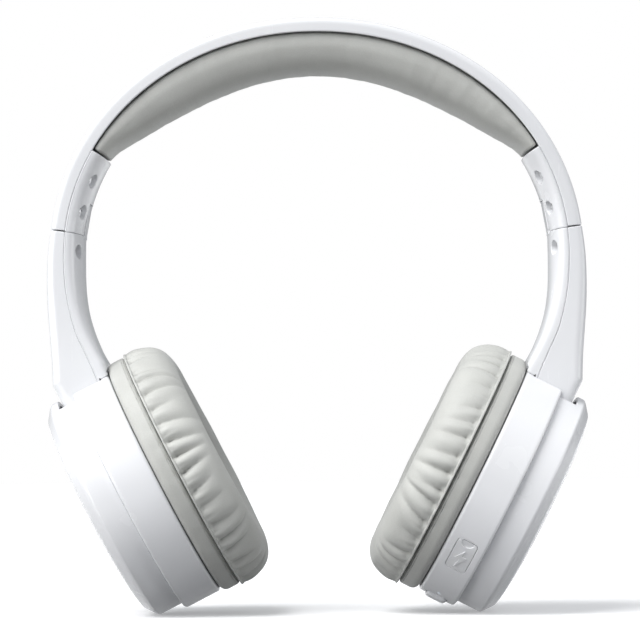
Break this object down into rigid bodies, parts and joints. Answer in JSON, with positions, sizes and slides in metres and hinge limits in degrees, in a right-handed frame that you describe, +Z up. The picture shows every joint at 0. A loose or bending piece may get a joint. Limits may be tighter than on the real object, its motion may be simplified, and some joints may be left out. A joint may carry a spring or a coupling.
{
  "type": "over-ear headphones",
  "caption": "White over-ear wireless headphones: padded arched headband, arms that slide to set the size, and round tilting ear cups with pleated grey cushions.",
  "frame": {"origin": "under the middle of the headband, on the surface the headphones stand on", "axes": "+X towards the wearer's right, +Y the way the wearer faces, +Z up through the crown of the headband"},
  "size_m": [0.176, 0.0836, 0.1935],
  "materials": {
    "white_plastic": "gloss",
    "soft_leather": "fine grain",
    "scrim_cloth": "woven",
    "dark_plastic": "matte",
    "steel": "bright",
    "board": "solder mask",
    "clear_film": "clear",
    "cable_rubber": "matte",
    "white_rubber": "satin",
    "battery_pouch": "satin"
  },
  "bodies": {
    "headband": {"detent_clip_left": "steel", "detent_clip_right": "steel", "end_cover_left": "white_plastic", "end_cover_right": "white_plastic", "end_cover_screw_left_1": "steel", "end_cover_screw_left_2": "steel", "end_cover_screw_left_3": "steel", "end_cover_screw_left_4": "steel", "end_cover_screw_right_1": "steel", "end_cover_screw_right_2": "steel", "end_cover_screw_right_3": "steel", "end_cover_screw_right_4": "steel", "headband_cable": "cable_rubber", "headband_pad": "soft_leather", "headband_pad_base": "dark_plastic", "headband_shell": "white_plastic", "headband_spring": "steel"},
    "arm_right": {"slider_right": "white_plastic", "arm_shell_right": "white_plastic", "arm_cover_right": "white_plastic", "arm_screw_right_1": "steel", "arm_screw_right_2": "steel", "tilt_pin_right": "steel"},
    "cup_right": {"housing_right": "white_plastic", "back_cover_right": "white_plastic", "trim_cap_right": "white_plastic", "cushion_skirt_right": "soft_leather", "ear_cushion_right": "soft_leather", "scrim_right": "scrim_cloth", "baffle_right": "dark_plastic", "driver_frame_right": "dark_plastic", "driver_magnet_right": "steel", "driver_diaphragm_right": "clear_film", "circuit_board": "board", "usb_port": "steel", "status_lamp": "clear_film"},
    "arm_left": {"slider_left": "white_plastic", "arm_shell_left": "white_plastic", "arm_cover_left": "white_plastic", "arm_screw_left_1": "steel", "arm_screw_left_2": "steel", "tilt_pin_left": "steel"},
    "cup_left": {"housing_left": "white_plastic", "back_cover_left": "white_plastic", "trim_cap_left": "white_plastic", "cushion_skirt_left": "soft_leather", "ear_cushion_left": "soft_leather", "scrim_left": "scrim_cloth", "baffle_left": "dark_plastic", "driver_frame_left": "dark_plastic", "driver_magnet_left": "steel", "driver_diaphragm_left": "clear_film", "battery": "battery_pouch"},
    "flap": {"usb_flap": "white_rubber"},
    "button_volume_down": {"key_volume_down": "white_plastic"},
    "button_play": {"key_play": "white_plastic"},
    "button_volume_up": {"key_volume_up": "white_plastic"}
  },
  "joints": [
    {"name": "slide_right", "type": "slide", "parent": "headband", "child": "arm_right", "axis": [0.1288, 0, -0.9917], "range_m": [0, 0.018]},
    {"name": "slide_left", "type": "slide", "parent": "headband", "child": "arm_left", "axis": [-0.1288, 0, -0.9917], "range_m": [0, 0.018]},
    {"name": "tilt_right", "type": "hinge", "parent": "arm_right", "child": "cup_right", "pos_m": [0.0748, 0, 0.06861], "axis": [0, -1, 0], "range_deg": [0, 7]},
    {"name": "tilt_left", "type": "hinge", "parent": "arm_left", "child": "cup_left", "pos_m": [-0.0748, 0, 0.06861], "axis": [0, 1, 0], "range_deg": [0, 7]},
    {"name": "press_volume_down", "type": "slide", "parent": "cup_right", "child": "button_volume_down", "axis": [0.4493, -0.1426, 0.8819], "range_m": [0, 0.0006], "stiffness_N_per_m": 1200, "springref_m": -0.0006},
    {"name": "press_play", "type": "slide", "parent": "cup_right", "child": "button_play", "axis": [0.454, 0, 0.891], "range_m": [0, 0.0006], "stiffness_N_per_m": 1200, "springref_m": -0.0006},
    {"name": "press_volume_up", "type": "slide", "parent": "cup_right", "child": "button_volume_up", "axis": [0.4493, 0.1426, 0.8819], "range_m": [0, 0.0006], "stiffness_N_per_m": 1200, "springref_m": -0.0006},
    {"name": "flap_open", "type": "hinge", "parent": "cup_right", "child": "flap", "pos_m": [0.04305, -0.02829, 0.01489], "axis": [0.891, 0, -0.454], "range_deg": [0, 100]}
  ]
}
